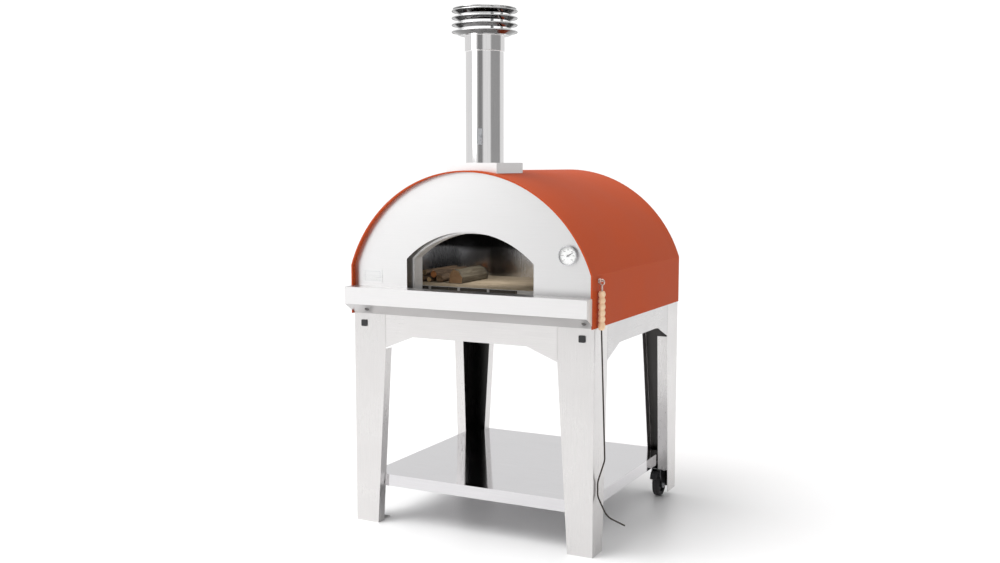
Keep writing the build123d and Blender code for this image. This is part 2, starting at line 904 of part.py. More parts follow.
# The cap: three strips hold four open cones and a lid above the neck.
ring_inner = 99
ring_top = top_height - 8
flue_side = Plane(origin=(mid, flue_centre_y, 0), x_dir=(1, 0, 0), z_dir=(0, -1, 0))
flue_axis = Axis((mid, flue_centre_y, 0), (0, 0, 1))
with BuildPart() as cap_rings:
    for ring in range(4):
        high = ring_top - ring * ring_pitch
        with BuildSketch(flue_side):
            with BuildLine():
                Polyline(
                    (ring_inner, high - ring_height),
                    (cap_radius - 1.5, high - sheet),
                    (cap_radius - 1.5, high),
                    (ring_inner, high - ring_height + sheet),
                    close=True,
                )
            make_face()
            with Locations((cap_radius - 2.2, high - 2.2)):
                Circle(2.2)
        revolve(axis=flue_axis)
save(cap_rings, "cap_rings")

strip_width = 12
strip_turn = -20
strip_low = sleeve_top + 4
strip_inner = sleeve_radius + 1.8
lid_low = top_height - 1.5
with BuildPart() as cap_straps:
    for strip in range(3):
        azimuth = strip_turn + 120 * strip
        radial = Plane(origin=(mid, flue_centre_y, 0), z_dir=(0, 0, 1)).rotated((0, 0, azimuth))
        with BuildSketch(radial.offset(strip_low)):
            with Locations((ring_inner - 1, 0)):
                Rectangle(3, strip_width)
        extrude(amount=lid_low - strip_low)
        # Its foot reaches in to the neck.
        with BuildSketch(radial.offset(strip_low)):
            with Locations(((strip_inner + ring_inner) / 2, 0)):
                Rectangle(ring_inner - strip_inner, strip_width)
        extrude(amount=sheet)
save(cap_straps, "cap_straps")

with BuildPart() as cap_lid:
    with Locations((mid, flue_centre_y, lid_low)):
        Cylinder(cap_radius - 5, top_height - lid_low, align=(Align.CENTER, Align.CENTER, Align.MIN))
save(cap_lid, "cap_lid")

# The damper stands upright in the pipe when it is open.
with BuildPart() as damper_plate:
    with Locations(Plane(origin=damper_centre, x_dir=across, z_dir=turn.y_dir).location):
        Cylinder(flue_radius - flue_wall - 0.7, sheet)
save(damper_plate, "damper_plate")

spindle_out = 92
spindle_in = flue_radius - 1
leaf_out = 84
leaf_thick = 3
with BuildPart() as damper_spindle:
    with Locations(Plane(origin=damper_centre - across * spindle_in, z_dir=across).location):
        Cylinder(
            spindle_radius, spindle_in + spindle_out, align=(Align.CENTER, Align.CENTER, Align.MIN)
        )
save(damper_spindle, "damper_spindle")

with BuildPart() as damper_handle:
    leaf = Plane(origin=damper_centre + across * leaf_out, x_dir=turn.y_dir, z_dir=across)
    with BuildSketch(leaf.offset(-1)):
        with Locations((0, 6.5)):
            RectangleRounded(20, 63, 5)
    extrude(amount=leaf_thick)
    with BuildSketch(leaf.offset(leaf_thick - 1)):
        Circle(10)
    extrude(amount=9, taper=8)
save(damper_handle, "damper_handle")

# ---------------------------------------------------------------- gauge and plate

gauge_plane = Plane(origin=(mid + gauge_x, facade, gauge_z), x_dir=(1, 0, 0), z_dir=(0, -1, 0))
needle_radius = 1
needle_turn = 30
needle_plane = Plane(
    origin=gauge_plane.origin,
    x_dir=Vector(1, 0, 0).rotate(Axis.Y, -needle_turn),
    z_dir=(0, -1, 0),
)
with BuildPart() as gauge_case:
    with BuildSketch(gauge_plane):
        Circle(gauge_radius)
    extrude(amount=gauge_depth)
    with BuildSketch(gauge_plane.offset(gauge_floor)):
        Circle(gauge_radius - gauge_wall)
    extrude(amount=gauge_depth - gauge_floor, mode=Mode.SUBTRACT)
    with BuildSketch(gauge_plane):
        Circle(gauge_stem)
    extrude(amount=-70)
save(gauge_case, "gauge_case")

with BuildPart() as gauge_dial:
    with BuildSketch(gauge_plane.offset(gauge_floor + 0.1)):
        Circle(gauge_radius - gauge_wall - 0.1)
        Circle(needle_radius + running_gap, mode=Mode.SUBTRACT)
    extrude(amount=1.5)
save(gauge_dial, "gauge_dial")

with BuildPart() as gauge_needle:
    with BuildSketch(needle_plane.offset(7)):
        with BuildLine():
            Polyline((-7, -1.4), (0, -1.9), (25, -0.5), (25, 0.5), (0, 1.9), (-7, 1.4), close=True)
        make_face()
        Circle(3)
    extrude(amount=0.8)
    with BuildSketch(gauge_plane.offset(4.5)):
        Circle(needle_radius)
    extrude(amount=2.6)
save(gauge_needle, "gauge_needle")

with BuildPart() as gauge_glass:
    with BuildSketch(gauge_plane.offset(9.4)):
        Circle(gauge_radius - gauge_wall)
    extrude(amount=1.5)
save(gauge_glass, "gauge_glass")

with BuildPart() as name_plate:
    with BuildSketch(upright(facade)):
        with Locations((name_plate_x, name_plate_z)):
            RectangleRounded(name_plate_width, name_plate_height, 4)
    extrude(amount=name_plate_thick)
    # A rivet holds each corner.
    with BuildSketch(upright(facade - name_plate_thick)):
        with Locations((name_plate_x, name_plate_z)):
            with GridLocations(name_plate_width - 11, name_plate_height - 11, 2, 2):
                Circle(2)
    extrude(amount=0.8)
save(name_plate, "name_plate")

# ---------------------------------------------------------------- poker

tool_y = front + hook_setback
tool_centre_x = mid + tool_x
wire = 2.5
hook_rose = 9
hook_end = tool_y - 17
hook_bend = tool_y - 13
with BuildPart() as tool_hook:
    arm_y = tool_y + 8
    with Locations(Plane(origin=(mid + half, arm_y, hook_z), z_dir=(1, 0, 0))):
        Cylinder(hook_rose, sheet, align=(Align.CENTER, Align.CENTER, Align.MIN))
    rod((mid + half, arm_y, hook_z), (tool_centre_x, arm_y, hook_z), wire)
    rod((tool_centre_x, arm_y, hook_z), (tool_centre_x, hook_bend, hook_z), wire)
    rod((tool_centre_x, hook_bend, hook_z), (tool_centre_x, hook_end, hook_z + 10), wire)
    for bend in ((arm_y, hook_z), (hook_bend, hook_z), (hook_end, hook_z + 10)):
        with Locations((tool_centre_x, bend[0], bend[1])):
            Sphere(wire)
save(tool_hook, "tool_hook")

ring_z = hook_z - ring_centre_drop
tool_plane = upright(tool_y)
with BuildPart() as poker_rod:
    with BuildSketch(Plane.YZ.offset(tool_centre_x)):
        with Locations((tool_y, ring_z + ring_middle)):
            Circle(ring_wire)
    revolve(axis=Axis((tool_centre_x, tool_y, ring_z), (0, 1, 0)))
    stem_top = (tool_centre_x, tool_y, ring_z - ring_middle - 1)
    rod((tool_centre_x, tool_y, handle_top), stem_top, ring_wire + 0.6)
    with BuildLine(tool_plane) as bent:
        FilletPolyline(
            (tool_x, handle_low),
            (tool_x + 18, 378),
            (541, 290),
            (541, 235),
            (580, 160),
            (653, 136),
            radius=60,
        )
    with BuildSketch(Plane(origin=bent.line @ 0, z_dir=bent.line % 0)):
        Circle(ring_wire)
    sweep(path=bent.line)
save(poker_rod, "poker_rod")

beads = 5
bead_foot = handle_low + 30
bead_length = (handle_top - bead_foot) / beads
with BuildPart() as poker_handle:
    with BuildSketch(tool_plane):
        with BuildLine():
            handle_end = Line((tool_x, handle_low), (tool_x + 9, handle_low))
            cup = Spline(handle_end @ 1, (tool_x + 14, handle_low + 12), (tool_x + 10, bead_foot))
            for bead in range(beads):
                foot = bead_foot + bead * bead_length
                ThreePointArc(
                    (tool_x + 10, foot),
                    (tool_x + 14, foot + bead_length / 2),
                    (tool_x + 10, foot + bead_length),
                )
            Line((tool_x + 10, handle_top), (tool_x, handle_top))
            Line((tool_x, handle_top), (tool_x, handle_low))
        make_face()
    revolve(axis=Axis((tool_centre_x, tool_y, 0), (0, 0, 1)))
save(poker_handle, "poker_handle")
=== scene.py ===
import math

import bmesh
import bpy
from mathutils import Matrix, Vector, noise


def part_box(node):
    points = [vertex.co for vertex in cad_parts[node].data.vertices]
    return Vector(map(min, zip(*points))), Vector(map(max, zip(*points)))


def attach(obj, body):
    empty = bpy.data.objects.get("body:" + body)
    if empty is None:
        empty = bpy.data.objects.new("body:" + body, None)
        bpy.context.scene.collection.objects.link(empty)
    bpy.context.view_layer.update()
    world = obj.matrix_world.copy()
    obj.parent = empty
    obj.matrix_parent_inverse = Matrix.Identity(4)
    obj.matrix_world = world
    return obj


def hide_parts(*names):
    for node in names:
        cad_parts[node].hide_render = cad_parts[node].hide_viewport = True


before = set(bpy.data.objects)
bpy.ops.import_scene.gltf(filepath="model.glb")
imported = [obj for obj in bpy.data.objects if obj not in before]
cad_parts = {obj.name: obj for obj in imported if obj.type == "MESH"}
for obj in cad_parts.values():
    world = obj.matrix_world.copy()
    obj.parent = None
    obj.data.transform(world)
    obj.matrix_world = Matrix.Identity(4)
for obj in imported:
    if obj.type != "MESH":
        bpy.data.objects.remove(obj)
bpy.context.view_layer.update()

scene = bpy.context.scene
scene.view_settings.view_transform = "Standard"
MM = 0.001

# ---------------------------------------------------------------- camera, light, floor

camera_data = bpy.data.cameras.new("photo_camera")
camera_data.lens = 41.23
camera_data.sensor_width = 36
camera = bpy.data.objects.new("photo_camera", camera_data)
camera.location = (2.0866, -4.3781, 1.4943)
camera.rotation_euler = (math.radians(84.116), 0, math.radians(27.095))
scene.collection.objects.link(camera)
scene.camera = camera


def lamp(kind, name, energy, location, aim, **values):
    data = bpy.data.lights.new(name, kind)
    data.energy = energy
    for key, value in values.items():
        setattr(data, key, value)
    lamp_object = bpy.data.objects.new(name, data)
    lamp_object.location = location
    lamp_object.rotation_euler = (Vector(aim) - Vector(location)).to_track_quat("-Z", "Y").to_euler()
    scene.collection.objects.link(lamp_object)


lamp("SUN", "overhead_sun", 2.2, (-2.5, -2.0, 6), (0, 0, 0.8), angle=math.radians(50))
lamp("AREA", "front_softbox", 22, (-2.6, -3.6, 2.6), (0, -0.2, 1.0), size=2.2)
lamp("AREA", "chamber_fill", 0.95, (-0.10, -0.20, 1.24), (-0.22, 0.10, 1.02), size=0.14)


class Shader:
    """A node material or world being built, with short calls for its nodes."""

    def __init__(self, tree):
        self.tree = tree

    def node(self, kind, **values):
        made = self.tree.nodes.new(kind)
        for key, value in values.items():
            setattr(made, key, value)
        return made

    def feed(self, socket, value):
        if isinstance(value, bpy.types.NodeSocket):
            self.tree.links.new(value, socket)
        else:
            socket.default_value = value

    def math(self, operation, a, b=0.0, clamp=False):
        made = self.node("ShaderNodeMath", operation=operation, use_clamp=clamp)
        self.feed(made.inputs[0], a)
        self.feed(made.inputs[1], b)
        return made.outputs[0]

    def times(self, a, b):
        return self.math("MULTIPLY", a, b)

    def ramp(self, value, low, high, to_low=0.0, to_high=1.0, smooth=True):
        kind = "SMOOTHSTEP" if smooth else "LINEAR"
        made = self.node("ShaderNodeMapRange", interpolation_type=kind)
        self.feed(made.inputs["Value"], value)
        made.inputs["From Min"].default_value = low
        made.inputs["From Max"].default_value = high
        made.inputs["To Min"].default_value = to_low
        made.inputs["To Max"].default_value = to_high
        return made.outputs["Result"]

    def blend(self, factor, a, b):
        made = self.node("ShaderNodeMix", data_type="RGBA")
        self.feed(made.inputs[0], factor)
        self.feed(made.inputs[6], a)
        self.feed(made.inputs[7], b)
        return made.outputs[2]

    def place(self, scale=(1, 1, 1)):
        source = self.node("ShaderNodeTexCoord").outputs["Object"]
        mapping = self.node("ShaderNodeMapping")
        self.feed(mapping.inputs["Vector"], source)
        mapping.inputs["Scale"].default_value = scale
        return mapping.outputs[0]

    def noise(self, scale, vector=None, detail=3.0, roughness=0.5, distortion=0.0):
        made = self.node("ShaderNodeTexNoise")
        self.feed(made.inputs["Vector"], vector if vector else self.place())
        made.inputs["Scale"].default_value = scale
        made.inputs["Detail"].default_value = detail
        made.inputs["Roughness"].default_value = roughness
        made.inputs["Distortion"].default_value = distortion
        return made.outputs["Fac"]

    def split(self, source):
        made = self.node("ShaderNodeSeparateXYZ")
        self.feed(made.inputs[0], source)
        return made.outputs

    def position(self):
        """The X, Y and Z of the point being shaded."""
        return self.split(self.node("ShaderNodeTexCoord").outputs["Object"])

    def facing(self):
        """The X, Y and Z of the normal at the point being shaded."""
        return self.split(self.node("ShaderNodeNewGeometry").outputs["Normal"])


def gray(value, alpha=1.0):
    return (value, value, value, alpha)


# A white studio with two grey screens, which polished metal shows as stripes. The camera sees plain white.
world = bpy.data.worlds.new("studio")
scene.world = world
world.use_nodes = True
sky = Shader(world.node_tree)
sky_parts = sky.split(sky.node("ShaderNodeTexCoord").outputs["Generated"])
azimuth = sky.math("ARCTAN2", sky_parts[1], sky_parts[0])


def screen(start, end, soft, depth, top):
    """How much a screen between two azimuths darkens the studio behind it."""
    rising = sky.ramp(azimuth, math.radians(start - soft), math.radians(start + soft))
    falling = sky.ramp(azimuth, math.radians(end - soft), math.radians(end + soft), 1.0, 0.0)
    under = sky.ramp(sky_parts[2], top - 0.1, top + 0.1, 1.0, 0.0)
    return sky.times(sky.times(rising, falling), sky.times(under, depth))


dark = sky.math("ADD", screen(-106, -74, 6, 0.56, 0.75), screen(-26, 44, 5, 0.47, 0.6))
studio_light = sky.math("SUBTRACT", 0.80, dark)
seen = sky.node("ShaderNodeLightPath").outputs["Is Camera Ray"]
lighting = sky.times(studio_light, sky.math("SUBTRACT", 1.0, seen))
strength = sky.math("ADD", lighting, sky.times(seen, 1.05))
background = world.node_tree.nodes["Background"]
background.inputs["Color"].default_value = gray(1.0)
sky.feed(background.inputs["Strength"], strength)


# ---------------------------------------------------------------- materials

def new_material(name):
    material = bpy.data.materials.new(name)
    material.use_nodes = True
    shader = Shader(material.node_tree)
    surface = material.node_tree.nodes["Principled BSDF"]
    return material, shader, surface


def bump(shader, surface, height, distance, strength=1.0):
    made = shader.node("ShaderNodeBump")
    made.inputs["Strength"].default_value = strength
    made.inputs["Distance"].default_value = distance
    shader.feed(made.inputs["Height"], height)
    shader.feed(surface.inputs["Normal"], made.outputs[0])


GRAIN = {"x": (6, 500, 500), "y": (500, 6, 500), "z": (500, 500, 6)}
# The near-black that every darkening blends towards: real soot and bluing, and painted shade.
SOOT_AND_SHADE = (0.012, 0.011, 0.010, 1)


def metal(
    name, color, roughness, grain="x", streak=0.05, smudge=0.06, relief=0.00003,
    darkening=None, tint=0.05, metallic=1.0,
):
    """Sheet or rod: fine brushing along one axis, faint handling marks, and a darkening on top: soot and
    bluing on some metals, painted shade on others.
    """
    material, shader, surface = new_material(name)
    lines = shader.noise(1.0, shader.place(GRAIN[grain]), 4.0, 0.6)
    marks = shader.noise(5.0, None, 5.0, 0.6, 0.4)
    rough = shader.math("ADD", shader.ramp(lines, 0.3, 0.7, -streak, streak, False), roughness)
    rough = shader.math("ADD", shader.ramp(marks, 0.35, 0.75, -smudge / 2, smudge, False), rough)
    shader.feed(surface.inputs["Roughness"], shader.math("MAXIMUM", rough, 0.02))
    lighter = [min(1.0, c * (1 + tint)) for c in color] + [1]
    darker = [c * (1 - tint) for c in color] + [1]
    tone = shader.blend(shader.ramp(lines, 0.3, 0.7, 0.0, 1.0, False), darker, lighter)
    tone = shader.blend(shader.ramp(marks, 0.45, 0.8, 0.0, 0.35), tone, darker)
    if darkening:
        tone = shader.blend(darkening(shader, marks), tone, SOOT_AND_SHADE)
    shader.feed(surface.inputs["Base Color"], tone)
    surface.inputs["Metallic"].default_value = metallic
    bump(shader, surface, lines, relief)
    return material


shell_low, shell_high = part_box("outer_shell")
mid_x = (shell_low.x + shell_high.x) / 2
cart_low, cart_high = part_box("leg_front_left")[0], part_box("leg_rear_right")[1]
mid_y = (cart_low.y + cart_high.y) / 2
half_x = (cart_high.x - cart_low.x) / 2
half_y = (cart_high.y - cart_low.y) / 2
leg_top_face, leg_foot_face = 0.150, 0.105
leg_top_side, leg_foot_side = 0.136, 0.098
leg_fold = 0.738
leg_top = leg_fold + 0.14
leg_skin = 0.0012

# Each darkening returns how dark a metal is at a point, from the position, the normal and its handling
# marks. Some are real soot and bluing; others are painted shade.


def leg_hollow_shade(shader, marks):
    """Painted shade on the inner faces of the folded legs, which see little light."""
    x, y, z = shader.position()
    from_middle_x = shader.math("ABSOLUTE", shader.math("SUBTRACT", x, mid_x))
    from_middle_y = shader.math("ABSOLUTE", shader.math("SUBTRACT", y, mid_y))
    across = shader.math("SUBTRACT", half_x, from_middle_x)
    along = shader.math("SUBTRACT", half_y, from_middle_y)
    rise = shader.ramp(z, 0.0, leg_fold, 0.0, 1.0, False)
    result = shader.math("LESS_THAN", z, leg_top)
    for distance, foot, top in (
        (across, leg_foot_face, leg_top_face),
        (along, leg_foot_side, leg_top_side),
    ):
        limit = shader.math("ADD", shader.times(rise, top - foot), foot - 2 * leg_skin)
        behind_face = shader.math("GREATER_THAN", distance, leg_skin)
        before_flange = shader.math("LESS_THAN", distance, limit)
        result = shader.times(result, shader.times(behind_face, before_flange))
    return shader.times(result, 0.93)


def faces_down(shader, marks):
    """Darker on whatever faces downwards."""
    up = shader.facing()[2]
    return shader.times(shader.ramp(up, -0.5, -0.15, 0.9, 0.0), shader.ramp(marks, 0.2, 0.6, 0.9, 1.0))


def tray_face_shade(shader, marks):
    """Painted shade: the tray's underside, top and right end are darker than its lip."""
    right, _, up = shader.facing()
    underside = shader.ramp(up, -0.7, -0.3, 0.36, 0.0)
    top = shader.ramp(up, 0.7, 0.95, 0.0, 0.25)
    right_end = shader.ramp(right, 0.6, 0.9, 0.0, 0.2)
    return shader.math("MAXIMUM", shader.math("MAXIMUM", underside, top), right_end)


def shelf_skirt_shade(shader, marks):
    """Painted shade: the shelf's front skirt is darker than its top."""
    return shader.ramp(shader.facing()[1], -0.9, -0.6, 0.14, 0.0)


def front_plate_shade(shader, marks):
    """Painted shade on the front plate along the tray, more so on the right, over a faint painted shade
    that grows towards the right.
    """
    x, _, z = shader.position()
    low = shader.ramp(z, 0.99, 1.03, 0.30, 0.0)
    right = shader.ramp(x, mid_x - 0.35, mid_x + 0.45, 0.1, 1.0)
    general = shader.ramp(x, mid_x - 0.45, mid_x + 0.5, 0.0, 0.12, False)
    return shader.math("ADD", shader.times(low, right), general)


def smoked(shader, marks):
    """Soot that thickens towards the top and the fire's side of the chamber."""
    x, _, z = shader.position()
    across = shader.math("SUBTRACT", x, mid_x)
    high = shader.ramp(z, 1.095, 1.13, 0.0, 1.0)
    fire_side = shader.ramp(across, -0.40, -0.34, 0.72, 0.0)
    plume_left = shader.ramp(across, -0.24, -0.20, 0.0, 0.85)
    plume_right = shader.ramp(across, -0.17, -0.04, 1.0, 0.0)
    plume = shader.times(plume_left, plume_right)
    darkening = shader.math("MAXIMUM", high, shader.math("MAXIMUM", fire_side, plume))
    return shader.times(darkening, shader.ramp(marks, 0.25, 0.6, 0.88, 0.97))


def below_handle(shader, marks):
    """The poker is blued below its handle and bare above it."""
    blued = shader.ramp(shader.position()[2], 0.9, 0.95, 0.93, 0.0)
    return shader.times(blued, shader.ramp(marks, 0.2, 0.5, 0.93, 1.0))


def paint(name, color, roughness, grain_scale, relief, vary=0.05, gloss=0.5):
    """Powder coat or moulded plastic: an even colour with a fine pimpled skin."""
    material, shader, surface = new_material(name)
    skin = shader.noise(grain_scale, None, 2.0)
    broad = shader.noise(3.0, None, 3.0)
    darker = [c * (1 - vary) for c in color] + [1]
    lighter = [c * (1 + vary) for c in color] + [1]
    tone = shader.blend(shader.ramp(broad, 0.3, 0.7), darker, lighter)
    tone = shader.blend(shader.ramp(skin, 0.35, 0.75, 0.0, 0.5), tone, darker)
    shader.feed(surface.inputs["Base Color"], tone)
    worn = shader.ramp(broad, 0.2, 0.8, roughness - 0.05, roughness + 0.06)
    shader.feed(surface.inputs["Roughness"], worn)
    surface.inputs["Specular IOR Level"].default_value = gloss
    bump(shader, surface, skin, relief)
    return material


def brick(name):
    """Firebrick: speckled clay, with painted shade on its front faces."""
    material, shader, surface = new_material(name)
    grit = shader.noise(420.0, None, 4.0, 0.7)
    broad = shader.noise(14.0, None, 4.0)
    tone = shader.blend(shader.ramp(broad, 0.3, 0.7), (0.34, 0.265, 0.175, 1), (0.44, 0.35, 0.24, 1))
    tone = shader.blend(shader.ramp(grit, 0.58, 0.75, 0.0, 0.6), tone, (0.30, 0.20, 0.11, 1))
    # Painted shade: the front faces, seen through the sill's slots, go nearly black.
    front_face_shade = shader.ramp(shader.facing()[1], -0.8, -0.4, 0.95, 0.0)
    tone = shader.blend(front_face_shade, tone, (0.02, 0.017, 0.014, 1))
    shader.feed(surface.inputs["Base Color"], tone)
    surface.inputs["Roughness"].default_value = 0.9
    bump(shader, surface, grit, 0.0006)
    return material


def timber(name, pale, deep, rings, stretch, relief, roughness):
    """Wood grain or bark: a band pattern drawn out along one axis."""
    material, shader, surface = new_material(name)
    fibre = shader.noise(rings, shader.place(stretch), 6.0, 0.65, 0.6)
    broad = shader.noise(9.0, None, 3.0)
    tone = shader.blend(shader.ramp(fibre, 0.32, 0.68), (*deep, 1), (*pale, 1))
    tone = shader.blend(shader.ramp(broad, 0.4, 0.8, 0.0, 0.4), tone, (*deep, 1))
    shader.feed(surface.inputs["Base Color"], tone)
    shader.feed(surface.inputs["Roughness"], shader.ramp(fibre, 0.2, 0.8, roughness + 0.1, roughness))
    bump(shader, surface, fibre, relief)
    return material


ring_frequency = 2200.0


def end_grain(name, pale, deep, centre):
    """Growth rings round a log's heart, with fine specks."""
    material, shader, surface = new_material(name)
    x, _, z = shader.position()
    dx = shader.math("SUBTRACT", x, centre[0])
    dz = shader.math("SUBTRACT", z, centre[1])
    wobble = shader.times(shader.noise(60.0), 0.006)
    squared = shader.math("ADD", shader.times(dx, dx), shader.times(dz, dz))
    reach = shader.math("ADD", shader.math("POWER", squared, 0.5), wobble)
    rings = shader.math("SINE", shader.times(reach, ring_frequency))
    specks = shader.ramp(shader.noise(150.0, None, 4.0), 0.55, 0.75, 0.0, 0.5)
    tone = shader.blend(shader.ramp(rings, -1.0, 1.0, 0.0, 0.45), (*pale, 1), (*deep, 1))
    tone = shader.blend(specks, tone, (*deep, 1))
    shader.feed(surface.inputs["Base Color"], tone)
    surface.inputs["Roughness"].default_value = 0.85
    bump(shader, surface, rings, 0.0003)
    return material


def clear_glass(name):
    material, shader, surface = new_material(name)
    surface.inputs["Base Color"].default_value = (0.97, 0.98, 0.98, 1)
    surface.inputs["Alpha"].default_value = 0.08
    smears = shader.noise(160.0, None, 3.0)
    shader.feed(surface.inputs["Roughness"], shader.ramp(smears, 0.4, 0.8, 0.0, 0.05))
    return material


FINE, MILD, ROUGH = 0.000015, 0.00003, 0.00005
LOOKS = {
    metal("steel_leg", (0.68, 0.665, 0.66), 0.30, "z", darkening=leg_hollow_shade): ("leg_",),
    metal("steel_apron", (0.71, 0.695, 0.69), 0.31): ("apron_front", "apron_rear", "base_pan"),
    # The side aprons use a darker copy of the apron steel: painted shade.
    metal("steel_apron_side_shade", (0.61, 0.60, 0.60), 0.30, "y"): ("apron_left", "apron_right"),
    metal(
        "steel_shelf", (0.74, 0.73, 0.745), 0.08, "x", 0.02, 0.03, 0.000006, shelf_skirt_shade,
    ): ("bottom_shelf",),
    metal(
        "steel_front", (0.79, 0.785, 0.785), 0.34, "x", 0.02, 0.03, FINE, front_plate_shade, 0.02,
    ): ("front_arch",),
    metal(
        "steel_tray", (0.80, 0.79, 0.79), 0.34, "x", 0.02, 0.03, 0.00002, tray_face_shade, 0.025,
    ): ("front_shelf", "flue_box"),
    metal(
        "steel_reveal", (0.20, 0.195, 0.19), 0.34, "y", 0.08, 0.1, ROUGH,
    ): ("mouth_reveal", "mouth_landing"),
    metal(
        "steel_tunnel", (0.95, 0.94, 0.93), 0.45, "y", 0.06, 0.1, ROUGH, metallic=0.35,
    ): ("mouth_frame",),
    metal(
        "steel_sill", (0.60, 0.58, 0.55), 0.35, "x", 0.06, 0.1, ROUGH,
    ): ("mouth_sill", "hearth_plate"),
    metal(
        "steel_smoked", (0.90, 0.90, 0.92), 0.24, "z", 0.05, 0.08, ROUGH, smoked,
    ): ("chamber_",),
    metal(
        "steel_polished", (0.84, 0.83, 0.83), 0.09, "z", 0.03, 0.03, 0.000008,
    ): ("flue_pipe", "flue_sleeve"),
    metal(
        "steel_cap", (0.80, 0.80, 0.80), 0.12, "x", 0.03, 0.04, 0.00001, faces_down,
    ): ("cap_",),
    metal("steel_zinc", (0.55, 0.56, 0.58), 0.38, "z", 0.08, 0.1, ROUGH): (
        "caster_frame", "caster_axle", "caster_bolts", "shelf_bolts", "apron_bolts", "damper_",
    ),
    metal("steel_chrome", (0.46, 0.46, 0.47), 0.12, "x", 0.02, 0.03, 0.000005): ("gauge_case",),
    metal(
        "iron_rod", (0.62, 0.50, 0.45), 0.34, "z", 0.1, 0.12, 0.0001, below_handle,
    ): ("poker_rod", "tool_hook"),
    metal("plate_blank", (0.78, 0.78, 0.78), 0.30, "x", 0.05, 0.05, MILD): ("name_plate",),
    paint(
        "shell_terracotta", (0.50, 0.074, 0.018), 0.62, 700.0, 0.00025, 0.04, 0.12,
    ): ("outer_shell", "rear_panel"),
    paint(
        "plastic_black", (0.018, 0.018, 0.02), 0.42, 900.0, 0.0001,
    ): ("bolt_caps", "caster_wheel", "caster_pedal"),
    paint("rubber_tyre", (0.03, 0.03, 0.032), 0.72, 500.0, 0.0003): ("caster_tyre",),
    paint("dial_white", (0.93, 0.93, 0.92), 0.45, 300.0, 0.00002, 0.02): ("gauge_dial",),
    paint("needle_black", (0.02, 0.02, 0.02), 0.4, 800.0, 0.00002): ("gauge_needle",),
    paint("fibre_blanket", (0.80, 0.78, 0.72), 0.95, 300.0, 0.001): ("insulation_",),
    brick("brick_clay"): ("firebricks",),
    timber(
        "wood_turned", (0.98, 0.76, 0.52), (0.84, 0.56, 0.34), 60.0, (1, 1, 0.12), 0.0001, 0.38,
    ): ("poker_handle",),
    clear_glass("glass_gauge"): ("gauge_glass",),
    # No node: only the screws made below.
    metal("screw_dark", (0.16, 0.155, 0.15), 0.35, "x", 0.08, 0.1, MILD): (),
}
looks = {material.name: material for material in LOOKS}
for material, prefixes in LOOKS.items():
    for name, node_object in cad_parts.items():
        if name.startswith(prefixes):
            node_object.data.materials.clear()
            node_object.data.materials.append(material)


# ---------------------------------------------------------------- pieces

def make(name, mesh, body, slot, *materials):
    """An object from a bmesh, riding on a body."""
    data = bpy.data.meshes.new(name)
    bmesh.ops.recalc_face_normals(mesh, faces=mesh.faces)
    mesh.to_mesh(data)
    mesh.free()
    for material in materials:
        data.materials.append(material)
    piece = bpy.data.objects.new(name, data)
    scene.collection.objects.link(piece)
    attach(piece, body)
    return piece


def on_circle(radius, step, steps):
    """The two coordinates of one of a circle's evenly spaced points."""
    angle = 2 * math.pi * step / steps
    return radius * math.cos(angle), radius * math.sin(angle)


def bridge(mesh, lower, upper):
    """Smooth faces between two rings of as many points."""
    count = len(lower)
    for step in range(count):
        following = (step + 1) % count
        mesh.faces.new((lower[step], lower[following], upper[following], upper[step])).smooth = True


def tube_between(mesh, rings):
    """Faces along a row of rings, closed at both ends."""
    for lower, upper in zip(rings, rings[1:]):
        bridge(mesh, lower, upper)
    mesh.faces.new(rings[0])
    mesh.faces.new(rings[-1])


def hoop(name, rings, slot, material):
    """A closed hoop through a round of rings, on the oven."""
    mesh = bmesh.new()
    placed = [[mesh.verts.new(point) for point in ring] for ring in rings]
    for here, there in zip(placed, placed[1:] + placed[:1]):
        bridge(mesh, here, there)
    make(name, mesh, "oven", slot, material)


def turned(name, profile, origin, axis, body, slot, material, steps=40):
    """A turned piece: (radius, height) points in millimetres spun about an axis, closed at both ends."""
    turn = Vector(axis).to_track_quat("Z", "Y").to_matrix().to_4x4()
    turn.translation = Vector(origin)
    mesh = bmesh.new()
    rings = []
    for radius, height in profile:
        points = [(*on_circle(radius * MM, step, steps), height * MM) for step in range(steps)]
        rings.append([mesh.verts.new(turn @ Vector(point)) for point in points])
    tube_between(mesh, rings)
    return make(name, mesh, body, slot, material)


def tube_into(mesh, points, radius, sides=8):
    """Adds a closed round wire along points."""
    rings = []
    across = (points[1] - points[0]).orthogonal().normalized()
    for index, point in enumerate(points):
        ahead = (points[min(index + 1, len(points) - 1)] - points[max(index - 1, 0)]).normalized()
        across = (across - ahead * across.dot(ahead)).normalized()
        upward = ahead.cross(across)
        ring = []
        for step in range(sides):
            right, up = on_circle(1, step, sides)
            ring.append(mesh.verts.new(point + radius * (right * across + up * upward)))
        rings.append(ring)
    tube_between(mesh, rings)


def block_into(mesh, centre, size, turn=None):
    """Adds a thin block with its own turn."""
    placed = Matrix.Translation(centre) @ (turn or Matrix.Identity(4)) @ Matrix.Diagonal((*size, 1))
    bmesh.ops.create_cube(mesh, size=1.0, matrix=placed)


floor_mesh = bmesh.new()
bmesh.ops.create_grid(floor_mesh, x_segments=8, y_segments=8, size=30)
floor_data = bpy.data.meshes.new("floor")
floor_mesh.to_mesh(floor_data)
floor_mesh.free()
floor = bpy.data.objects.new("floor", floor_data)
scene.collection.objects.link(floor)
floor_look, floor_shader, floor_surface = new_material("floor_white")
speck = floor_shader.noise(2.0, None, 4.0)
floor_tone = floor_shader.blend(speck, gray(0.90), gray(0.93))
floor_shader.feed(floor_surface.inputs["Base Color"], floor_tone)
floor_surface.inputs["Roughness"].default_value = 0.35
floor_data.materials.append(floor_look)

face_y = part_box("front_arch")[0].y
face_recess = 4 * MM
front_y = face_y - face_recess

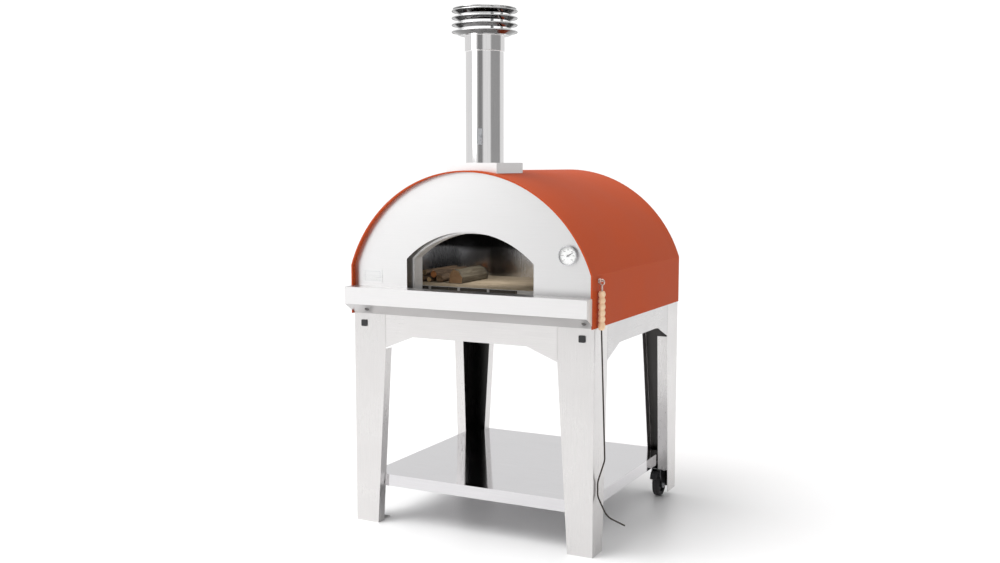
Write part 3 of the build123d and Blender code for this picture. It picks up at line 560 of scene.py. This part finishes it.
# Firewood: round billets and one split log, with bark and sawn or split ends.
bark = timber(
    "wood_bark", (0.20, 0.13, 0.075), (0.05, 0.03, 0.018), 90.0, (1, 0.10, 1), 0.002, 0.8,
)
heart = timber(
    "wood_split", (0.15, 0.125, 0.085), (0.07, 0.055, 0.035), 120.0, (1, 0.08, 1), 0.0012, 0.75,
)
log_rows = 14
end_dish = 1.5 * MM


def log(name, outline, start, length, seed, skin, ends):
    """A log along Y: an outline of (x, z) points, roughened along its length."""
    mesh = bmesh.new()
    middle_x = sum(x for x, z in outline) / len(outline)
    middle_z = sum(z for x, z in outline) / len(outline)
    rings = []
    for row in range(log_rows + 1):
        y = start + length * row / log_rows
        ring = []
        for x, z in outline:
            wave = noise.noise(Vector((x * 60, y * 12 + seed, z * 60)))
            fine = noise.noise(Vector((x * 260, y * 45 + seed, z * 260)))
            spread = 0.94 + 0.05 * wave + 0.03 * fine
            rough_x = middle_x + (x - middle_x) * spread
            rough_z = middle_z + (z - middle_z) * spread
            ring.append(mesh.verts.new((rough_x, y, rough_z)))
        rings.append(ring)
    for lower, upper in zip(rings, rings[1:]):
        bridge(mesh, lower, upper)
    for ring, dish in ((rings[0], end_dish), (rings[-1], -end_dish)):
        centre = mesh.verts.new((middle_x, ring[0].co.y + dish, middle_z))
        for point, following in zip(ring, ring[1:] + ring[:1]):
            mesh.faces.new((point, following, centre)).material_index = 1
    piece = make(name, mesh, "oven", "firewood", skin, ends)
    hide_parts("firewood")


def polygon_outline(corners, between=5):
    """Points along a polygon's sides."""
    points = []
    for (x0, z0), (x1, z1) in zip(corners, corners[1:] + corners[:1]):
        for step in range(between):
            share = step / between
            points.append((x0 + (x1 - x0) * share, z0 + (z1 - z0) * share))
    return points


# Billets: distance from the middle, height of the heart over the bricks, radius, pale and deep end colours.
BILLETS = (
    (-262, 17, 16.5, (0.30, 0.20, 0.12), (0.16, 0.09, 0.05)),
    (-291, 34, 15, (0.70, 0.29, 0.11), (0.42, 0.14, 0.04)),
    (-313, 11, 11, (0.85, 0.62, 0.36), (0.55, 0.34, 0.16)),
    (-336, 40, 12, (0.42, 0.31, 0.18), (0.22, 0.14, 0.07)),
    (-352, 16, 15.5, (0.34, 0.24, 0.14), (0.18, 0.11, 0.06)),
)
SPLIT = ((-216, 0), (-154, 0), (-150, 26), (-169, 52), (-194, 60), (-214, 38))
billet_sides = 22
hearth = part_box("firebricks")[1].z
for number, (x, rise, radius, pale, deep) in enumerate(BILLETS):
    centre_x, centre_z = mid_x + x * MM, hearth + rise * MM
    outline = []
    for side in range(billet_sides):
        across, up = on_circle(radius * MM, side, billet_sides)
        outline.append((centre_x + across, centre_z + up))
    ends = end_grain(f"wood_end_{number}", pale, deep, (centre_x, centre_z))
    length = (250 + 2 * radius) * MM
    log(f"billet_{number}", outline, front_y + 230 * MM, length, number * 7.3, bark, ends)
split_corners = [(mid_x + x * MM, hearth + rise * MM) for x, rise in SPLIT]
split_heart = (mid_x - 165 * MM, hearth + 2 * MM)
split_end = end_grain("wood_end_split", (0.50, 0.31, 0.17), (0.28, 0.15, 0.08), split_heart)
split_outline = polygon_outline(split_corners)
log("split_log", split_outline, front_y + 228 * MM, 235 * MM, 3.1, heart, split_end)

# The gauge's printed scale: long and short marks, an outer ring of dashes, and numbers.
dial_low, dial_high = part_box("gauge_dial")
dial = Vector(((dial_low.x + dial_high.x) / 2, dial_low.y, (dial_low.z + dial_high.z) / 2))
scale_start, scale_sweep = 225, 270
mark_count, dash_count, number_count = 30, 60, 6
marks_per_number = mark_count // number_count
ink = 0.1 * MM
number_size = 5.4 * MM


def on_dial(radius, share):
    """A point on the dial, and its angle, at a share of the scale."""
    angle = math.radians(scale_start - scale_sweep * share)
    point = dial + Vector((radius * MM * math.cos(angle), -ink, radius * MM * math.sin(angle)))
    return point, angle


def dash(mesh, radius, share, length, width):
    centre, angle = on_dial(radius, share)
    size = (length * MM, 2 * ink, width * MM)
    block_into(mesh, centre, size, Matrix.Rotation(-angle, 4, "Y"))


scale_marks = bmesh.new()
for mark in range(mark_count + 1):
    if mark % marks_per_number == 0:
        dash(scale_marks, 28.5, mark / mark_count, 5, 0.9)
    else:
        dash(scale_marks, 29.5, mark / mark_count, 2.6, 0.45)
for mark in range(dash_count):
    dash(scale_marks, 31.6, (mark + 0.5) / dash_count, 0.4, 2.6)
make("gauge_scale", scale_marks, "oven", "gauge_needle", looks["needle_black"])
for mark in range(number_count + 1):
    words = bpy.data.curves.new(f"gauge_number_{mark}", "FONT")
    words.body = str(100 * mark)
    words.size = number_size
    words.align_x = "CENTER"
    words.align_y = "CENTER"
    words.extrude = ink
    holder = bpy.data.objects.new("number_holder", words)
    number_mesh = bpy.data.meshes.new_from_object(holder)
    bpy.data.objects.remove(holder)
    place = on_dial(21.5, mark / number_count)[0]
    upright = Matrix.Rotation(math.radians(90), 4, "X")
    number_mesh.transform(Matrix.Translation(place) @ upright)
    digits = bpy.data.objects.new(f"gauge_number_{mark}", number_mesh)
    scene.collection.objects.link(digits)
    number_mesh.materials.clear()
    number_mesh.materials.append(looks["needle_black"])
    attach(digits, "oven")

# A rolled ring round the gauge's case, and a cap over the needle's pin.
BEZEL = ((34.2, -0.2), (36.8, -0.2), (37.6, 0.8), (37.2, 2.2), (35.8, 2.8), (34.4, 2.2))
HUB = ((3.4, 0), (3.3, 0.5), (2.4, 1.0), (0.9, 1.2))
bezel_lap = 2.4 * MM
bezel_steps = 64
gauge_front = Vector((dial.x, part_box("gauge_case")[0].y + bezel_lap, dial.z))
bezel = []
for step in range(bezel_steps):
    ring = []
    for radius, height in BEZEL:
        right, up = on_circle(radius * MM, step, bezel_steps)
        ring.append(gauge_front + Vector((right, -height * MM, up)))
    bezel.append(ring)
hoop("gauge_bezel", bezel, "chrome_trim", looks["steel_chrome"])
pin = (dial.x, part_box("gauge_needle")[0].y, dial.z)
turned("needle_hub", HUB, pin, (0, -1, 0), "needle", "gauge_needle", looks["needle_black"])

# Domed cross-headed screws in the sloping underside of the front shelf.
SCREW = ((9.0, -0.2), (8.8, 0.9), (7.2, 2.6), (4.2, 3.7), (1.2, 4.0))
SCREW_X = {"left": -0.452, "right": 0.508}
screw_z = 0.9019
screw_out = 36 * MM
cross_rise = 3.7 * MM
cross_size = (9.0 * MM, 1.5 * MM, 0.9 * MM)
slant = Vector((0, -0.532, -0.847))
for side, x in SCREW_X.items():
    spot = Vector((mid_x + x, front_y - screw_out, screw_z))
    dark = looks["screw_dark"]
    turned(f"tray_screw_{side}", SCREW, spot, slant, "oven", "fasteners", dark)
    cross = bmesh.new()
    for quarter in (0, 90):
        tilt = slant.to_track_quat("Z", "Y").to_matrix().to_4x4()
        spun = tilt @ Matrix.Rotation(math.radians(quarter), 4, "Z")
        block_into(cross, spot + slant * cross_rise, cross_size, spun)
    make(f"tray_screw_cross_{side}", cross, "oven", "fasteners", looks["plastic_black"])

# Two wires twisted round the poker's stem.
handle_box_low, handle_box_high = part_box("poker_handle")
stem_x = (handle_box_low.x + handle_box_high.x) / 2
stem_y = (handle_box_low.y + handle_box_high.y) / 2
ring_height = 25.5 * MM
stem_low = handle_box_high.z
stem_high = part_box("poker_rod")[1].z - ring_height
twist_turns = 2.5
twist_steps = 48
strand_reach = 2.9 * MM
strand_radius = 1.9 * MM
twist = bmesh.new()
for strand in (0, 1):
    points = []
    for step in range(twist_steps + 1):
        share = step / twist_steps
        angle = 2 * math.pi * twist_turns * share + math.pi * strand
        x = stem_x + strand_reach * math.cos(angle)
        y = stem_y + strand_reach * math.sin(angle)
        points.append(Vector((x, y, stem_low + (stem_high - stem_low) * share)))
    tube_into(twist, points, strand_radius)
make("poker_twist", twist, "poker", "dark_rod", looks["iron_rod"])

# Rolled beads round the flue's sleeve.
sleeve_low, sleeve_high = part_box("flue_sleeve")
flue = Vector(((sleeve_low.x + sleeve_high.x) / 2, (sleeve_low.y + sleeve_high.y) / 2, 0))
BEADS = (("low", sleeve_low.z + 2 * MM, 78.7), ("high", 1.994, 78.7), ("neck", 2.003, 76.6))
bead_steps = 72
for name, z, radius in BEADS:
    bead = []
    for step in range(bead_steps):
        ring = []
        for corner in range(8):
            out, up = on_circle(1, corner, 8)
            x, y = on_circle(radius * MM + 1.1 * MM * out, step, bead_steps)
            ring.append(flue + Vector((x, y, z + 1.4 * MM * up)))
        bead.append(ring)
    hoop(f"flue_bead_{name}", bead, "polished_steel", looks["steel_polished"])

# The pipe's welded seam at its back, with a fine ripple.
pipe_radius = 75.0 * MM
seam_angle = math.radians(112)
seam_low, seam_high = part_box("flue_box")[1].z, 1.932
seam_steps = 24
seam_ripple = 1 * MM
seam_x, seam_y = pipe_radius * math.cos(seam_angle), pipe_radius * math.sin(seam_angle)
seam_points = []
for step in range(seam_steps + 1):
    z = seam_low + (seam_high - seam_low) * step / seam_steps + seam_ripple * (step % 2)
    seam_points.append(flue + Vector((seam_x, seam_y, z)))
seam = bmesh.new()
tube_into(seam, seam_points, 0.9 * MM)
make("flue_seam", seam, "oven", "polished_steel", looks["steel_polished"])

# A raised border on the blank plate.
plate_low, plate_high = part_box("name_plate")
plate_thick = 1.35 * MM
border_width, border_rise = 0.8 * MM, 0.4 * MM
half_long, half_short = 36 * MM, 19 * MM
middle = (plate_low + plate_high) / 2
plate_mid = Vector((middle.x, face_y - plate_thick, middle.z))
border = bmesh.new()
for end in (-1, 1):
    level = (2 * half_long, border_rise, border_width)
    block_into(border, plate_mid + Vector((0, 0, end * half_short)), level)
for end in (-1, 1):
    stile = (border_width, border_rise, 2 * half_short + border_width)
    block_into(border, plate_mid + Vector((end * half_long, 0, 0)), stile)
make("plate_border", border, "oven", "plate_face", looks["steel_zinc"])
